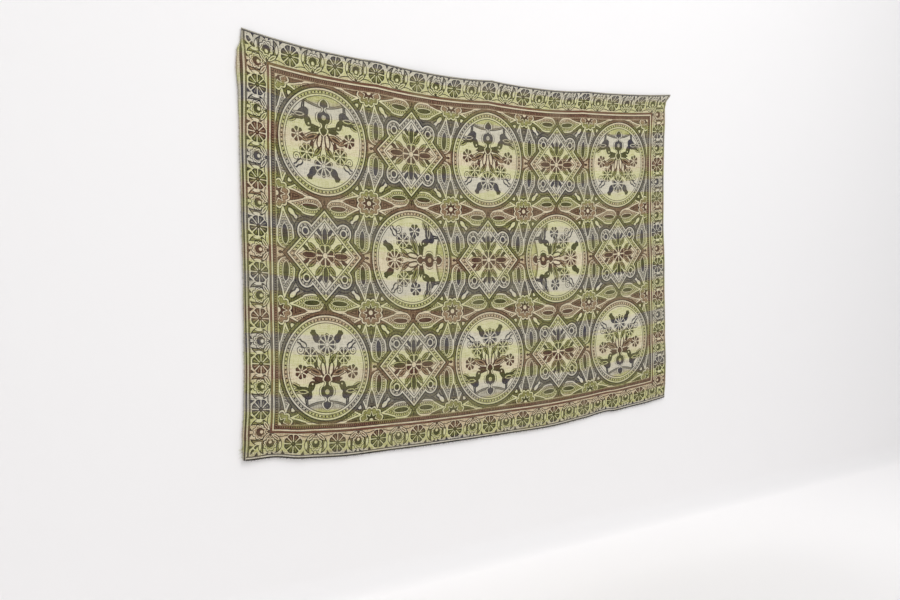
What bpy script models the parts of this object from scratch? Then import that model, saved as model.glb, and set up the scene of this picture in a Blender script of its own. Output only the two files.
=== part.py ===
"""A large woven tapestry, hung flat against a wall from pins along its top edge.

It is one piece of cloth: four borders and the middle are woven together, the two
selvedges curl back towards the wall, and the lower edge is a plain cut edge. The pins
draw the top edge up, so it sags a little between them, and the middle of the cloth
hangs lower than its ends.

Metres. +X runs across the cloth to the viewer's right, +Z is up and the wall is at
+Y, so the face of the cloth looks towards -Y. The origin is at the middle pin, on the
wall.
"""

import math
from collections import namedtuple

import bmesh
import bpy

# Driving dimensions of the cloth.
FACE_WIDTH = 2.200          # between the two outer cream lines
SELVEDGE_WIDTH = 0.028      # plain striped strip outside each cream line
DROP_LEFT = 1.510           # top edge to lower edge at the left end
DROP_RIGHT = 1.485          # the same at the right end
CLOTH_THICKNESS = 0.002

# How it hangs.
MIDDLE_SAG = 0.053          # middle of the cloth below the last pin
SAG_FULLNESS = 2.6          # higher is flatter in the middle and steeper at the ends
SCALLOP_FADE = 3.0          # how fast the dips between pins fade down the cloth
WALL_GAP = 0.003            # back of the cloth to the wall at a pin
HANG_GAP = 0.007            # the same where it hangs free
GAP_FADE = 0.12             # share of the drop over which the pins' pull dies out
EDGE_LIFT_REACH = 0.16      # how far in from a selvedge its lift begins
FOOT_REACH = 0.12           # share of the drop over which the foot's rise and fall fades

# Cells of the sheet.
FACE_COLUMNS = 46
SELVEDGE_COLUMNS = 2
ROWS = 28

# One row for each pin: its share of the width, how far it is below the last pin, and
# for the stretch up to the next pin how far the edge sags and how far it stands out.
Pin = namedtuple("Pin", "share drop sag bulge")
PINS = (
    Pin(share=0.00, drop=-0.006, sag=0.014, bulge=0.004),
    Pin(share=0.25, drop=0.042, sag=0.015, bulge=0.008),
    Pin(share=0.50, drop=0.053, sag=0.014, bulge=0.006),
    Pin(share=0.75, drop=0.041, sag=0.007, bulge=0.004),
    Pin(share=1.00, drop=0.000, sag=0.000, bulge=0.000),
)

# Each end of the cloth from the top down: how far its cream line is drawn in from its
# place on the flat cloth, how far the selvedge's edge is outside that line, and how far
# the cloth beside it lifts off the wall.
Edge = namedtuple("Edge", "down left_in left_out left_lift right_in right_out right_lift")
EDGES = (
    Edge(0.00, -0.004, 0.001, 0.000, -0.012, 0.007, 0.002),
    Edge(0.03, -0.005, 0.003, 0.003, 0.019, 0.005, 0.003),
    Edge(0.05, -0.004, 0.017, 0.009, 0.027, 0.005, 0.004),
    Edge(0.09, -0.003, 0.020, 0.012, 0.027, 0.005, 0.004),
    Edge(0.15, -0.003, 0.013, 0.012, 0.030, 0.006, 0.004),
    Edge(0.24, -0.004, 0.009, 0.010, 0.030, 0.006, 0.004),
    Edge(0.40, -0.001, 0.008, 0.009, 0.025, 0.006, 0.004),
    Edge(0.58, 0.003, 0.006, 0.008, 0.010, 0.007, 0.004),
    Edge(0.78, 0.007, 0.008, 0.007, -0.002, 0.008, 0.004),
    Edge(0.88, 0.005, 0.009, 0.008, -0.011, 0.009, 0.004),
    Edge(0.95, 0.000, 0.010, 0.009, -0.009, 0.009, 0.005),
    Edge(1.00, -0.004, 0.006, 0.009, -0.004, 0.007, 0.005),
)

# Soft upright folds: the share of the width where each stands, its half width in the
# same share, how far it stands out at the top and at the foot, and its sideways lean.
Fold = namedtuple("Fold", "share width top foot lean")
FOLDS = (
    Fold(share=0.085, width=0.030, top=0.001, foot=0.006, lean=0.012),
    Fold(share=0.175, width=0.045, top=0.002, foot=0.005, lean=-0.010),
    Fold(share=0.330, width=0.050, top=0.004, foot=0.003, lean=0.015),
    Fold(share=0.445, width=0.040, top=0.001, foot=0.005, lean=-0.008),
    Fold(share=0.600, width=0.055, top=0.004, foot=0.004, lean=0.006),
    Fold(share=0.720, width=0.040, top=0.001, foot=0.005, lean=0.010),
    Fold(share=0.850, width=0.045, top=0.003, foot=0.004, lean=-0.012),
    Fold(share=0.940, width=0.028, top=0.001, foot=0.006, lean=-0.006),
)

# The lower edge: how much further down it is, at these shares of the width, than the
# straight line between its two ends.
Foot = namedtuple("Foot", "share extra")
FEET = (
    Foot(0.000, 0.002),
    Foot(0.050, -0.006),
    Foot(0.100, 0.0025),
    Foot(0.190, 0.006),
    Foot(0.290, 0.002),
    Foot(0.420, 0.0015),
    Foot(0.550, 0.004),
    Foot(0.660, 0.0065),
    Foot(0.750, -0.002),
    Foot(0.815, -0.0095),
    Foot(0.850, -0.003),
    Foot(1.000, 0.000),
)

# Finish.
CLOTH_COLOUR = (0.291, 0.261, 0.165)
CLOTH_ROUGHNESS = 0.92


def ease(t):
    """Smooth step from 0 to 1 as t goes from 0 to 1."""
    t = min(1.0, max(0.0, t))
    return t * t * (3.0 - 2.0 * t)


def table_value(rows, at, column):
    """Value of a column of EDGES or FEET at this share, eased from row to row.

    The first column of either table is the share itself.
    """
    for upper, lower in zip(rows, rows[1:]):
        if at <= lower[0]:
            t = ease((at - upper[0]) / (lower[0] - upper[0]))
            return getattr(upper, column) * (1.0 - t) + getattr(lower, column) * t
    return getattr(rows[-1], column)


def pin_span(share):
    """The pins either side of this share of the width, and the way between them."""
    for left, right in zip(PINS, PINS[1:]):
        if share <= right.share:
            return left, right, (share - left.share) / (right.share - left.share)
    return PINS[-2], PINS[-1], 1.0


def edge_drop(share):
    """How far the pinned top edge is below the last pin."""
    left, right, t = pin_span(share)
    straight = left.drop * (1.0 - t) + right.drop * t
    return straight + left.sag * 4.0 * t * (1.0 - t)


def cloth_sag(share):
    """How far the hanging cloth is below the last pin once the dips have faded."""
    return MIDDLE_SAG * (1.0 - abs(2.0 * share - 1.0) ** SAG_FULLNESS)


def height(share, down):
    """Height of the cloth above the middle pin."""
    sag = cloth_sag(share)
    sag += (edge_drop(share) - sag) * (1.0 - down) ** SCALLOP_FADE
    drop = DROP_LEFT * (1.0 - share) + DROP_RIGHT * share
    foot = table_value(FEET, share, "extra") * ease((down - 1.0 + FOOT_REACH) / FOOT_REACH)
    return MIDDLE_SAG - sag - drop * down - foot


def wall_gap(share, down):
    """Gap between the wall and the back of the cloth, inside the cream lines."""
    left, _, t = pin_span(share)
    pull = 1.0 - ease(down / GAP_FADE)
    held = WALL_GAP + left.bulge * math.sin(math.pi * t) ** 2
    gap = HANG_GAP + (held - HANG_GAP) * pull
    for fold in FOLDS:
        size = fold.top * (1.0 - down) + fold.foot * down
        off = (share - fold.share - fold.lean * down) / fold.width
        gap += size * math.exp(-off * off)
    left_reach = ease(1.0 - share * FACE_WIDTH / EDGE_LIFT_REACH)
    right_reach = ease(1.0 - (1.0 - share) * FACE_WIDTH / EDGE_LIFT_REACH)
    gap += table_value(EDGES, down, "left_lift") * left_reach
    return gap + table_value(EDGES, down, "right_lift") * right_reach


def curl(out, turn):
    """Where a selvedge has got to, turn being its share of SELVEDGE_WIDTH.

    It leaves the face flat and bends back towards the wall as a quarter wave, and its
    far edge ends `out` beyond the cream line.
    """
    back = math.sqrt(max(0.0, SELVEDGE_WIDTH ** 2 - out ** 2))
    return out * math.sin(0.5 * math.pi * turn), back * (1.0 - math.cos(0.5 * math.pi * turn))


def cloth_point(across, down):
    """Point on the back of the cloth.

    across is in metres from the left cream line, and is negative or more than
    FACE_WIDTH on a selvedge. down is the share of the drop.
    """
    share = min(1.0, max(0.0, across / FACE_WIDTH))
    left = -0.5 * FACE_WIDTH + table_value(EDGES, down, "left_in")
    right = 0.5 * FACE_WIDTH - table_value(EDGES, down, "right_in")
    x = left * (1.0 - share) + right * share
    gap = wall_gap(share, down)
    beyond = max(-across, across - FACE_WIDTH)
    if beyond > 0.0:
        side = "left" if across < 0.0 else "right"
        out = table_value(EDGES, down, side + "_out")
        step, back = curl(out, beyond / SELVEDGE_WIDTH)
        x += step if side == "right" else -step
        gap = max(WALL_GAP, gap - back)
    return x, -gap, height(share, down)


def column_across(column):
    """Metres from the left cream line to a column of the grid."""
    face_column = column - SELVEDGE_COLUMNS
    if face_column < 0:
        return face_column * SELVEDGE_WIDTH / SELVEDGE_COLUMNS
    if face_column > FACE_COLUMNS:
        past = face_column - FACE_COLUMNS
        return FACE_WIDTH + past * SELVEDGE_WIDTH / SELVEDGE_COLUMNS
    return face_column * FACE_WIDTH / FACE_COLUMNS


def make_material(name, colour, roughness):
    """Principled material of one colour."""
    material = bpy.data.materials.new(name)
    material.use_nodes = True
    shader = material.node_tree.nodes["Principled BSDF"]
    shader.inputs["Base Color"].default_value = (*colour, 1.0)
    shader.inputs["Roughness"].default_value = roughness
    shader.inputs["Metallic"].default_value = 0.0
    material.diffuse_color = (*colour, 1.0)
    return material


def make_cloth():
    """The tapestry: a grid laid on the hanging surface, thickened towards the viewer."""
    columns = FACE_COLUMNS + 2 * SELVEDGE_COLUMNS
    sheet = bmesh.new()
    bmesh.ops.create_grid(sheet, x_segments=columns, y_segments=ROWS, size=0.5)
    for vert in sheet.verts:
        column = round((vert.co.x + 0.5) * columns)
        row = round((0.5 - vert.co.y) * ROWS)
        vert.co = cloth_point(column_across(column), row / ROWS)
    mesh = bpy.data.meshes.new("tapestry_cloth")
    sheet.to_mesh(mesh)
    sheet.free()
    mesh.shade_smooth()
    cloth = bpy.data.objects.new("tapestry_cloth", mesh)
    bpy.context.collection.objects.link(cloth)
    thicken = cloth.modifiers.new("thickness", "SOLIDIFY")
    thicken.thickness = CLOTH_THICKNESS
    thicken.offset = 1.0
    thicken.use_even_offset = True
    cloth.data.materials.append(make_material("cloth", CLOTH_COLOUR, CLOTH_ROUGHNESS))
    return cloth


def main():
    """Clear the scene and make the tapestry."""
    for thing in list(bpy.data.objects):
        bpy.data.objects.remove(thing, do_unlink=True)
    make_cloth()


main()
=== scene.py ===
"""Looks of a large woven tapestry, hung flat on a wall from pins along its top edge.

The cloth is one sheet on the folds of its solid. Its whole design is woven in: every
figure gives a depth of shade, and the weft, whose colours change in bands down the
cloth, turns that depth into brown, madder, moss, yellow-green, slate or cream.

Metres. +X runs to the viewer's right, +Z is up and the wall is at +Y. On the cloth,
"across" runs from the left outer cream line to the right one and "down" from the top
edge to the lower edge, both measured on the cloth.
"""

import logging
import math
import random
from collections.abc import Iterable, Sequence
from dataclasses import dataclass
from enum import Enum

import bmesh
import bpy
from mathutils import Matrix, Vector


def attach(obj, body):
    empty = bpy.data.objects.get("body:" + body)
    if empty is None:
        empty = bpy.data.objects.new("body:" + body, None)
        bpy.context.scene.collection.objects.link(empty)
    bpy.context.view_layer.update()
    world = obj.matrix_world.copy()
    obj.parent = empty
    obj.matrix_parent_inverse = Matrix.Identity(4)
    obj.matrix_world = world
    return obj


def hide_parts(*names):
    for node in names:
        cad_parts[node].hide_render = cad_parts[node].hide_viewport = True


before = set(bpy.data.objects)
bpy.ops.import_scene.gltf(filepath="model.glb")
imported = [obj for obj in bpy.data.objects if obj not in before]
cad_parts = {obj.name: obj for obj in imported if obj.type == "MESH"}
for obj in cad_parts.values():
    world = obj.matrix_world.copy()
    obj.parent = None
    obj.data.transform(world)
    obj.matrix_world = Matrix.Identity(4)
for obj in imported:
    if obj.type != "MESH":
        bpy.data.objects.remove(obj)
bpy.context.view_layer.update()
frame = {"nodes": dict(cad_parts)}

LOG = logging.getLogger("tapestry")
BODY = "root"
CLOTH_NODE = "tapestry_cloth"
WEAVE_MAP = "Weave"
BAKE_MAP = "OFBake"
TURN = 2.0 * math.pi
SLANT = math.sqrt(0.5)


# ---------------------------------------------------------------- sizes of the cloth


@dataclass(frozen=True)
class ClothSize:
    """Flat sizes of the tapestry, in metres."""

    face_width: float = 2.200
    selvedge: float = 0.028
    drop: float = 1.500
    thickness: float = 0.002

    @property
    def full_width(self) -> float:
        """Width with both selvedges laid flat."""
        return self.face_width + 2.0 * self.selvedge


SIZE = ClothSize()


def ease(t: float) -> float:
    """Smooth step from 0 to 1.

    Args:
        t: Place on the step, held between 0 and 1.

    Returns:
        The eased value.
    """
    t = min(1.0, max(0.0, t))
    return t * t * (3.0 - 2.0 * t)


def eased(rows: Sequence[tuple[float, float]], at: float) -> float:
    """Value of a table of places and values, eased from row to row.

    Args:
        rows: Pairs of place and value, in order of place.
        at: The place asked for.

    Returns:
        The value there, the last one beyond the end.
    """
    for (near, first), (far, last) in zip(rows, rows[1:]):
        if at <= far:
            t = ease((at - near) / (far - near))
            return first * (1.0 - t) + last * t
    return rows[-1][1]


@dataclass(frozen=True)
class Pin:
    """A pin of the top edge, and the stretch of edge up to the next one."""

    share: float
    drop: float
    sag: float
    bulge: float


@dataclass(frozen=True)
class Edge:
    """Both ends of the cloth at one share of the drop.

    How far each cream line is drawn in, how far the selvedge ends outside it, and how
    far the cloth beside it lifts off the wall.
    """

    down: float
    left_in: float
    left_out: float
    left_lift: float
    right_in: float
    right_out: float
    right_lift: float


@dataclass(frozen=True)
class Fold:
    """A soft upright fold, in shares of the width, with its depth at top and foot."""

    share: float
    width: float
    top: float
    foot: float
    lean: float


@dataclass(frozen=True)
class Crease:
    """A shallow crease pressed in when the cloth lay folded."""

    across: float
    down: float
    length: float
    width: float
    depth: float
    turn: float


@dataclass(frozen=True)
class Hang:
    """The surface in which the pinned cloth hangs, the same as in its solid."""

    drop_left: float = 1.510
    drop_right: float = 1.485
    middle_sag: float = 0.053
    sag_fullness: float = 2.6
    scallop_fade: float = 3.0
    wall_gap: float = 0.003
    hang_gap: float = 0.007
    gap_fade: float = 0.12
    lift_reach: float = 0.16
    foot_reach: float = 0.12
    pins: tuple[Pin, ...] = (
        Pin(0.00, -0.006, 0.014, 0.004),
        Pin(0.25, 0.042, 0.015, 0.008),
        Pin(0.50, 0.053, 0.014, 0.006),
        Pin(0.75, 0.041, 0.007, 0.004),
        Pin(1.00, 0.000, 0.000, 0.000),
    )
    edges: tuple[Edge, ...] = (
        Edge(0.00, -0.004, 0.001, 0.000, -0.012, 0.007, 0.002),
        Edge(0.03, -0.005, 0.003, 0.003, 0.019, 0.005, 0.003),
        Edge(0.05, -0.004, 0.017, 0.009, 0.027, 0.005, 0.004),
        Edge(0.09, -0.003, 0.020, 0.012, 0.027, 0.005, 0.004),
        Edge(0.15, -0.003, 0.013, 0.012, 0.030, 0.006, 0.004),
        Edge(0.24, -0.004, 0.009, 0.010, 0.030, 0.006, 0.004),
        Edge(0.40, -0.001, 0.008, 0.009, 0.025, 0.006, 0.004),
        Edge(0.58, 0.003, 0.006, 0.008, 0.010, 0.007, 0.004),
        Edge(0.78, 0.007, 0.008, 0.007, -0.002, 0.008, 0.004),
        Edge(0.88, 0.005, 0.009, 0.008, -0.011, 0.009, 0.004),
        Edge(0.95, 0.000, 0.010, 0.009, -0.009, 0.009, 0.005),
        Edge(1.00, -0.004, 0.006, 0.009, -0.004, 0.007, 0.005),
    )
    folds: tuple[Fold, ...] = (
        Fold(0.085, 0.030, 0.001, 0.006, 0.012),
        Fold(0.175, 0.045, 0.002, 0.005, -0.010),
        Fold(0.330, 0.050, 0.004, 0.003, 0.015),
        Fold(0.445, 0.040, 0.001, 0.005, -0.008),
        Fold(0.600, 0.055, 0.004, 0.004, 0.006),
        Fold(0.720, 0.040, 0.001, 0.005, 0.010),
        Fold(0.850, 0.045, 0.003, 0.004, -0.012),
        Fold(0.940, 0.028, 0.001, 0.006, -0.006),
    )
    creases: tuple[Crease, ...] = (
        Crease(0.46, 0.30, 0.20, 0.012, 0.0011, 0.25),
        Crease(1.12, 0.74, 0.55, 0.010, 0.0009, 0.02),
        Crease(1.66, 0.46, 0.18, 0.014, 0.0012, -0.40),
        Crease(0.72, 1.10, 0.22, 0.012, 0.0010, 0.55),
        Crease(1.92, 1.02, 0.16, 0.012, 0.0012, 1.30),
        Crease(0.10, 1.28, 0.12, 0.012, 0.0014, 0.80),
        Crease(1.34, 1.36, 0.16, 0.012, 0.0012, -0.70),
    )
    feet: tuple[tuple[float, float], ...] = (
        (0.000, 0.002), (0.050, -0.006), (0.100, 0.0025), (0.190, 0.006),
        (0.290, 0.002), (0.420, 0.0015), (0.550, 0.004), (0.660, 0.0065),
        (0.750, -0.002), (0.815, -0.0095), (0.850, -0.003), (1.000, 0.000),
    )

    def edge_value(self, down: float, column: str) -> float:
        """One column of the edge table, eased between its rows.

        Args:
            down: Share of the drop.
            column: Name of the field of Edge.

        Returns:
            The value there, in metres.
        """
        return eased([(e.down, getattr(e, column)) for e in self.edges], down)

    def pin_span(self, share: float) -> tuple[Pin, Pin, float]:
        """The pins either side of a point of the top edge.

        Args:
            share: Share of the width.

        Returns:
            The pin before it, the pin after it and the way between them, 0 to 1.
        """
        for left, right in zip(self.pins, self.pins[1:]):
            if share <= right.share:
                return left, right, (share - left.share) / (right.share - left.share)
        return self.pins[-2], self.pins[-1], 1.0

    def height(self, share: float, down: float) -> float:
        """Height of the cloth above the middle pin.

        Args:
            share: Share of the width.
            down: Share of the drop.

        Returns:
            Z in metres.
        """
        left, right, t = self.pin_span(share)
        edge = left.drop * (1.0 - t) + right.drop * t + left.sag * 4.0 * t * (1.0 - t)
        sag = self.middle_sag * (1.0 - abs(2.0 * share - 1.0) ** self.sag_fullness)
        sag += (edge - sag) * (1.0 - down) ** self.scallop_fade
        drop = self.drop_left * (1.0 - share) + self.drop_right * share
        fade = ease((down - 1.0 + self.foot_reach) / self.foot_reach)
        return self.middle_sag - sag - drop * down - eased(self.feet, share) * fade

    def gap(self, share: float, down: float) -> float:
        """Gap between the wall and the back of the cloth inside the cream lines.

        Args:
            share: Share of the width.
            down: Share of the drop.

        Returns:
            The gap in metres.
        """
        left, _, t = self.pin_span(share)
        pull = 1.0 - ease(down / self.gap_fade)
        held = self.wall_gap + left.bulge * math.sin(math.pi * t) ** 2
        gap = self.hang_gap + (held - self.hang_gap) * pull
        for fold in self.folds:
            size = fold.top * (1.0 - down) + fold.foot * down
            off = (share - fold.share - fold.lean * down) / fold.width
            gap += size * math.exp(-off * off)
        left_reach = ease(1.0 - share * SIZE.face_width / self.lift_reach)
        right_reach = ease(1.0 - (1.0 - share) * SIZE.face_width / self.lift_reach)
        gap += self.edge_value(down, "left_lift") * left_reach
        return gap + self.edge_value(down, "right_lift") * right_reach

    def creased(self, across: float, down: float) -> float:
        """How far the old creases push the face forward, in metres.

        Args:
            across: Metres from the left cream line.
            down: Metres from the top edge.

        Returns:
            Metres towards the viewer.
        """
        total = 0.0
        for crease in self.creases:
            x, y = across - crease.across, down - crease.down
            along = x * math.cos(crease.turn) + y * math.sin(crease.turn)
            off = (y * math.cos(crease.turn) - x * math.sin(crease.turn)) / crease.width
            fade = math.exp(-((2.0 * along / crease.length) ** 2))
            total += crease.depth * fade * off * math.exp(0.5 - off * off)
        return total

    def point(self, across: float, down: float) -> Vector:
        """Point on the back of the cloth.

        Args:
            across: Metres from the left cream line, outside 0 to face_width on a selvedge.
            down: Share of the drop.

        Returns:
            The point in the row's frame.
        """
        share = min(1.0, max(0.0, across / SIZE.face_width))
        left = -0.5 * SIZE.face_width + self.edge_value(down, "left_in")
        right = 0.5 * SIZE.face_width - self.edge_value(down, "right_in")
        x = left * (1.0 - share) + right * share
        gap = self.gap(share, down)
        beyond = max(-across, across - SIZE.face_width)
        if beyond > 0.0:
            side = "left" if across < 0.0 else "right"
            out = self.edge_value(down, side + "_out")
            back = math.sqrt(max(0.0, SIZE.selvedge**2 - out**2))
            quarter = 0.5 * math.pi * beyond / SIZE.selvedge
            x += math.copysign(out * math.sin(quarter), across)
            gap = max(self.wall_gap, gap - back * (1.0 - math.cos(quarter)))
        return Vector((x, -gap, self.height(share, down)))


HANG = Hang()


# ------------------------------------------------------------------ drawing with nodes


class Shade(Enum):
    """Depth at which a figure is woven, from the outline yarn to the pale ground."""

    LINE = 0.00
    DARK = 0.20
    DEEP = 0.38
    MID = 0.56
    PALE = 0.80
    GROUND = 1.00


LINE, DARK, DEEP, MID, PALE, GROUND = Shade
Ply = tuple[float, Shade]


class Outline(Enum):
    """Half width of a petal at each share of its length, as a share of the length."""

    LEAF = ((0.0, 0.0), (0.22, 0.14), (0.5, 0.19), (0.8, 0.09), (1.0, 0.0))
    BLADE = ((0.0, 0.0), (0.3, 0.07), (0.6, 0.07), (1.0, 0.0))
    DROP = ((0.0, 0.0), (0.2, 0.06), (0.45, 0.16), (0.68, 0.225), (0.88, 0.17), (1.0, 0.0))
    DART = ((0.0, 0.36), (0.3, 0.30), (0.65, 0.14), (1.0, 0.0))
    STEM = ((0.0, 0.018), (0.5, 0.016), (1.0, 0.012))
    TULIP = ((0.0, 0.0), (0.12, 0.20), (0.4, 0.28), (0.72, 0.20), (0.9, 0.24), (1.0, 0.10))
    VASE = ((0.0, 0.30), (0.07, 0.24), (0.16, 0.12), (0.30, 0.28), (0.52, 0.42),
            (0.74, 0.26), (0.88, 0.17), (1.0, 0.27))


LEAF, BLADE, DROP, DART, STEM, TULIP, VASE = Outline


@dataclass(frozen=True)
class Petal:
    """A long motif in millimetres: foot, turn in degrees, length, lean of the tip, shape.

    Its plies run from the edge inwards, and the last one fills the rest.
    """

    x: float
    y: float
    turn: float
    length: float
    lean: float
    outline: Outline
    plies: tuple[Ply, ...]


@dataclass(frozen=True)
class Bloom:
    """A round flower in millimetres: middle, radius, petals, depth of the notches.

    Rays are the half width of the bars between the petals, or 0 for none, and veins
    that of the light streak along each petal.
    """

    x: float
    y: float
    radius: float
    petals: int
    notch: float
    rays: float
    plies: tuple[Ply, ...]
    veins: float = 0.0


@dataclass(frozen=True)
class Dot:
    """A round spot in millimetres: middle, radius and plies."""

    x: float
    y: float
    radius: float
    plies: tuple[Ply, ...]


class Term:
    """A value that changes over the cloth, built on with ordinary arithmetic."""

    def __init__(self, sketch: "Sketch", socket: bpy.types.NodeSocket) -> None:
        """Hold one socket of a sketch."""
        self.sketch = sketch
        self.socket = socket

    def __add__(self, other: "Number") -> "Term":
        """Sum."""
        return self.sketch.math("ADD", self, other)

    __radd__ = __add__

    def __sub__(self, other: "Number") -> "Term":
        """Difference."""
        return self.sketch.math("SUBTRACT", self, other)

    def __rsub__(self, other: "Number") -> "Term":
        """Difference from a number."""
        return self.sketch.math("SUBTRACT", other, self)

    def __mul__(self, other: "Number") -> "Term":
        """Product."""
        return self.sketch.math("MULTIPLY", self, other)

    __rmul__ = __mul__

    def __abs__(self) -> "Term":
        """Size without sign."""
        return self.sketch.math("ABSOLUTE", self)

    def plus(self, factor: "Number", offset: "Number") -> "Term":
        """This times a factor, plus an offset, in one step."""
        return self.sketch.math("MULTIPLY_ADD", self, factor, offset)

    def lower(self, other: "Number") -> "Term":
        """The smaller of the two."""
        return self.sketch.math("MINIMUM", self, other)

    def higher(self, other: "Number") -> "Term":
        """The larger of the two."""
        return self.sketch.math("MAXIMUM", self, other)

    def over(self, limit: "Number") -> "Term":
        """1 where this is more than a limit, else 0."""
        return self.sketch.math("GREATER_THAN", self, limit)

    def under(self, limit: "Number") -> "Term":
        """1 where this is less than a limit, else 0."""
        return self.sketch.math("LESS_THAN", self, limit)

    def done(self, operation: str, *values: "Number") -> "Term":
        """Another Math operation on this, by its name."""
        return self.sketch.math(operation, self, *values)


Number = float | Term


class Sketch:
    """A node tree that figures are drawn in, one node for each step.

    Inside the design every length is in millimetres. A petal's foot is at petal_foot of its
    curve, and it takes up petal_span of it. The light bars of a flower lie round bar_middle
    of its radius and reach from there by ray_reach or vein_reach of it.
    """

    rows: int = 14
    step: tuple[float, float] = (190.0, -150.0)
    petal_foot: float = 0.2
    petal_span: float = 0.6
    bar_middle: float = 0.56
    ray_reach: float = 0.34
    vein_reach: float = 0.23

    def __init__(self, tree: bpy.types.NodeTree) -> None:
        """Draw in this tree."""
        self.tree = tree

    def node(self, kind: str, **settings: object) -> bpy.types.Node:
        """Add a node, laid out in columns.

        Args:
            kind: Blender's name of the node type.
            **settings: Properties to set on it.

        Returns:
            The new node.
        """
        place = len(self.tree.nodes)
        made = self.tree.nodes.new(kind)
        made.location = (self.step[0] * (place // self.rows), self.step[1] * (place % self.rows))
        for name, value in settings.items():
            setattr(made, name, value)
        return made

    def feed(self, socket: bpy.types.NodeSocket, value: object) -> None:
        """Link a term to a socket, or set a constant on it.

        Args:
            socket: The input.
            value: A term, an output socket or a constant.
        """
        if isinstance(value, Term):
            self.tree.links.new(value.socket, socket)
        elif isinstance(value, bpy.types.NodeSocket):
            self.tree.links.new(value, socket)
        else:
            socket.default_value = value

    def math(self, operation: str, *values: Number) -> Term:
        """One Math node.

        Args:
            operation: Name of the operation.
            *values: Its operands.

        Returns:
            The result.
        """
        made = self.node("ShaderNodeMath", operation=operation)
        for socket, value in zip(made.inputs, values):
            self.feed(socket, value)
        return Term(self, made.outputs[0])

    def point(self, x: Number, y: Number) -> bpy.types.NodeSocket:
        """A flat point from its two coordinates.

        Args:
            x: Across.
            y: Down.

        Returns:
            The point.
        """
        made = self.node("ShaderNodeCombineXYZ")
        self.feed(made.inputs[0], x)
        self.feed(made.inputs[1], y)
        return made.outputs[0]

    def parts(self, point: bpy.types.NodeSocket) -> tuple[Term, Term]:
        """The two coordinates of a flat point.

        Args:
            point: The point.

        Returns:
            Across and down.
        """
        made = self.node("ShaderNodeSeparateXYZ")
        self.feed(made.inputs[0], point)
        return Term(self, made.outputs[0]), Term(self, made.outputs[1])

    def placed(self, point: bpy.types.NodeSocket, at: tuple[float, float], turn: float,
               scale: tuple[float, float] = (1.0, 1.0)) -> bpy.types.NodeSocket:
        """A point as a motif sees it, with the motif upright and its foot at 0.

        Args:
            point: Point in the repeat.
            at: Where the motif stands.
            turn: How far it is turned, in degrees.
            scale: Length of the motif's own units.

        Returns:
            The point in the motif's own measure.
        """
        made = self.node("ShaderNodeMapping", vector_type="TEXTURE")
        self.feed(made.inputs["Vector"], point)
        made.inputs["Location"].default_value = (*at, 0.0)
        made.inputs["Rotation"].default_value = (0.0, 0.0, math.radians(turn))
        made.inputs["Scale"].default_value = (*scale, 1.0)
        return made.outputs[0]

    def apart(self, point: bpy.types.NodeSocket, x: float, y: float) -> Term:
        """Distance of a point from a fixed one.

        Args:
            point: The point.
            x: Across of the fixed point.
            y: Down of the fixed point.

        Returns:
            The distance.
        """
        made = self.node("ShaderNodeVectorMath", operation="DISTANCE")
        self.feed(made.inputs[0], point)
        made.inputs[1].default_value = (x, y, 0.0)
        return Term(self, made.outputs["Value"])

    def mix(self, share: Number, first: Number, second: Number) -> Term:
        """From one value to another.

        Args:
            share: How much of the second, 0 to 1.
            first: Value at 0.
            second: Value at 1.

        Returns:
            The mixed value.
        """
        made = self.node("ShaderNodeMix", data_type="FLOAT")
        for socket, value in zip((made.inputs[0], made.inputs[2], made.inputs[3]),
                                 (share, first, second)):
            self.feed(socket, value)
        return Term(self, made.outputs[0])

    def blend(self, share: Number, first: object, second: object) -> bpy.types.NodeSocket:
        """Mix two colours.

        Args:
            share: How much of the second.
            first: A colour or its socket.
            second: A colour or its socket.

        Returns:
            The mixed colour's socket.
        """
        made = self.node("ShaderNodeMix", data_type="RGBA")
        for socket, value in zip((made.inputs[0], made.inputs[6], made.inputs[7]),
                                 (share, first, second)):
            self.feed(socket, value)
        return made.outputs[2]

    def ramp(self, value: Term, stops: Sequence[tuple[float, tuple[float, ...]]],
             interpolation: str = "LINEAR") -> bpy.types.Node:
        """A colour ramp.

        Args:
            value: What is looked up, 0 to 1.
            stops: Place and colour, with its alpha, of each stop.
            interpolation: How it goes from stop to stop.

        Returns:
            The ramp node, with its Color and Alpha.
        """
        made = self.node("ShaderNodeValToRGB")
        made.color_ramp.interpolation = interpolation
        marks = made.color_ramp.elements
        while len(marks) < len(stops):
            marks.new(1.0)
        for mark, (place, colour) in zip(marks, stops):
            mark.position = place
            mark.color = colour
        self.feed(made.inputs["Fac"], value)
        return made

    def noise(self, point: bpy.types.NodeSocket, scale: tuple[float, float],
              detail: float = 2.0) -> Term:
        """Soft noise about 0.5.

        Args:
            point: Where it is read.
            scale: Lumps in a unit of length, across and down.
            detail: Finer layers added.

        Returns:
            The noise value.
        """
        spread = self.node("ShaderNodeMapping", vector_type="POINT")
        self.feed(spread.inputs["Vector"], point)
        spread.inputs["Scale"].default_value = (*scale, 1.0)
        made = self.node("ShaderNodeTexNoise", noise_dimensions="2D")
        self.feed(made.inputs["Vector"], spread.outputs[0])
        made.inputs["Scale"].default_value = 1.0
        made.inputs["Detail"].default_value = detail
        return Term(self, made.outputs["Fac"])

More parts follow.
